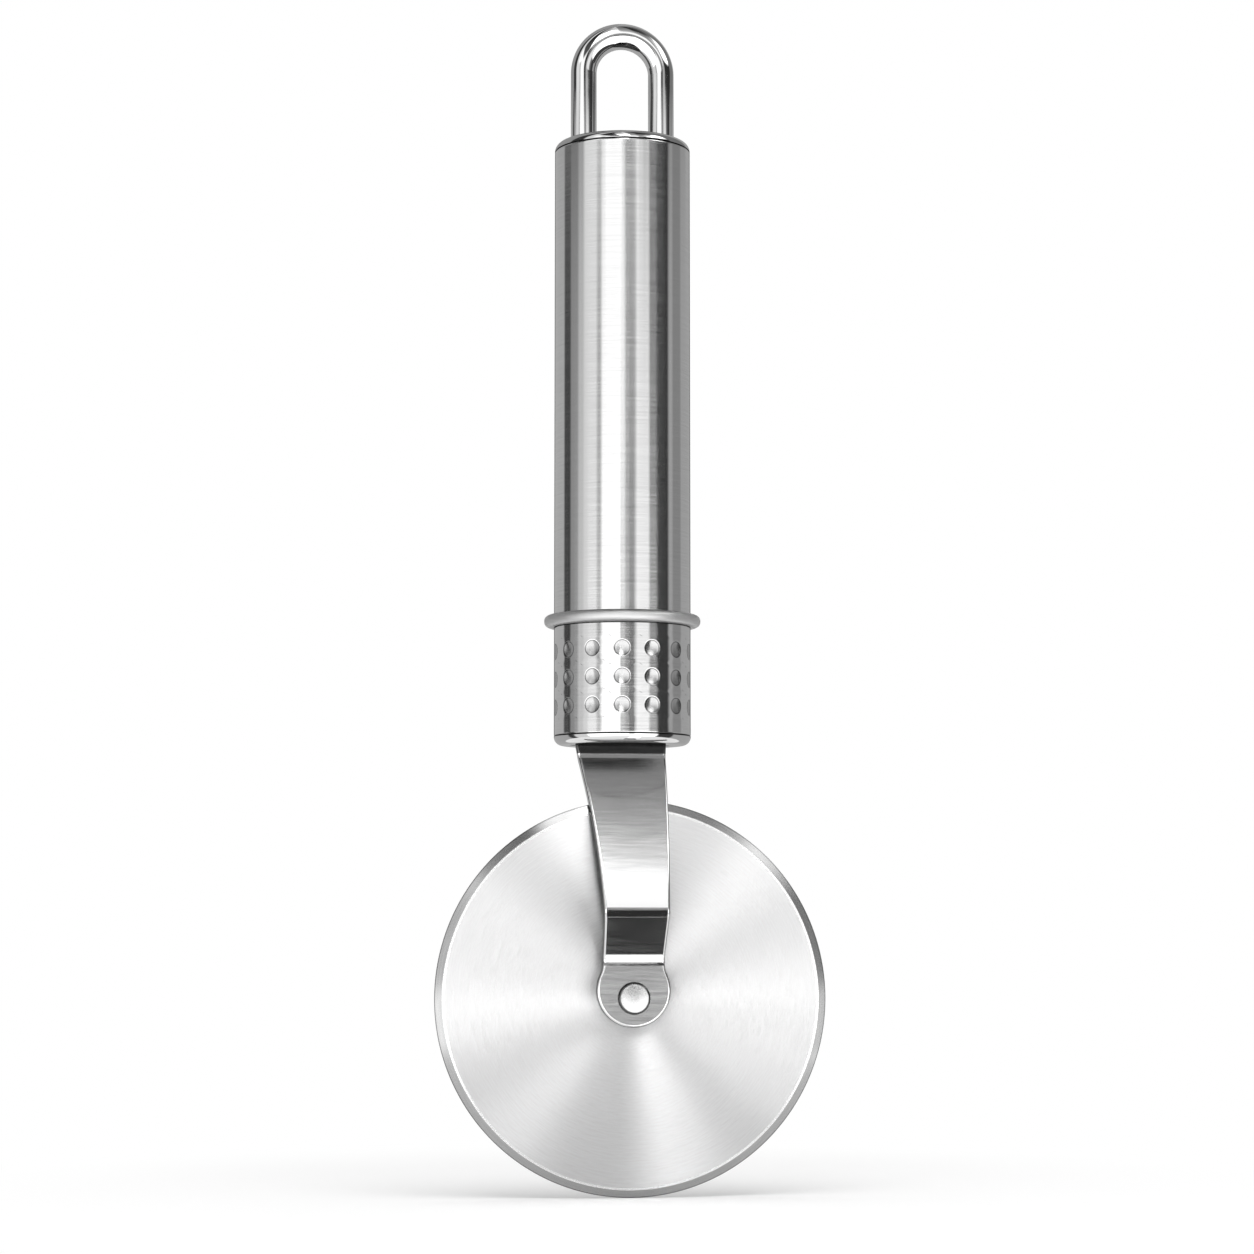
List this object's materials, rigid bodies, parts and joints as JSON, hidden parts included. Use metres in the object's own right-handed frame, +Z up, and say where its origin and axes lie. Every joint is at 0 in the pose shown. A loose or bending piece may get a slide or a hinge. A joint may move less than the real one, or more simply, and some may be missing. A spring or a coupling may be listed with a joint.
{
  "type": "pizza cutter wheel",
  "caption": "Hand-held pizza cutter: bevelled steel wheel on a bowed strap arm, tubular steel handle with a dimpled sleeve and a wire hanging loop.",
  "frame": {"origin": "on the surface that the wheel stands on, at the middle of the whole object's box: under the wheel's centre in X and under the handle's axis in Y", "axes": "+Z up the handle to the hanging loop, -Y towards the side where the arm lies, +X to the right when looking at the arm; the wheel's axle runs along Y"},
  "size_m": [0.065, 0.026, 0.1969],
  "materials": {
    "circular_brushed_steel": "brushed in circles round the axle",
    "brushed_tube_steel": "brushed round the girth",
    "satin_strap_steel": "fine satin",
    "satin_ring_steel": "bead-blasted satin",
    "polished_steel": "polished",
    "plain_steel": "as stamped",
    "moulded_plastic": "as moulded"
  },
  "bodies": {
    "handle": {"handle_tube": "brushed_tube_steel", "dimpled_sleeve": "brushed_tube_steel", "grip_ring": "satin_ring_steel", "top_cap": "polished_steel", "bottom_cap": "polished_steel", "loop_keeper": "plain_steel", "hanging_loop": "polished_steel", "tang_block_front": "moulded_plastic", "tang_block_rear": "moulded_plastic", "tang_pins": "plain_steel", "arm": "satin_strap_steel", "spacer_washer": "polished_steel", "rear_washer": "polished_steel", "axle_rivet": "polished_steel"},
    "wheel": {"cutting_wheel": "circular_brushed_steel", "wheel_bush": "polished_steel"}
  },
  "joints": [
    {"name": "wheel_spin", "type": "hinge", "parent": "handle", "child": "wheel", "pos_m": [0, -0.003, 0.0325], "axis": [0, 1, 0], "continuous": true}
  ]
}
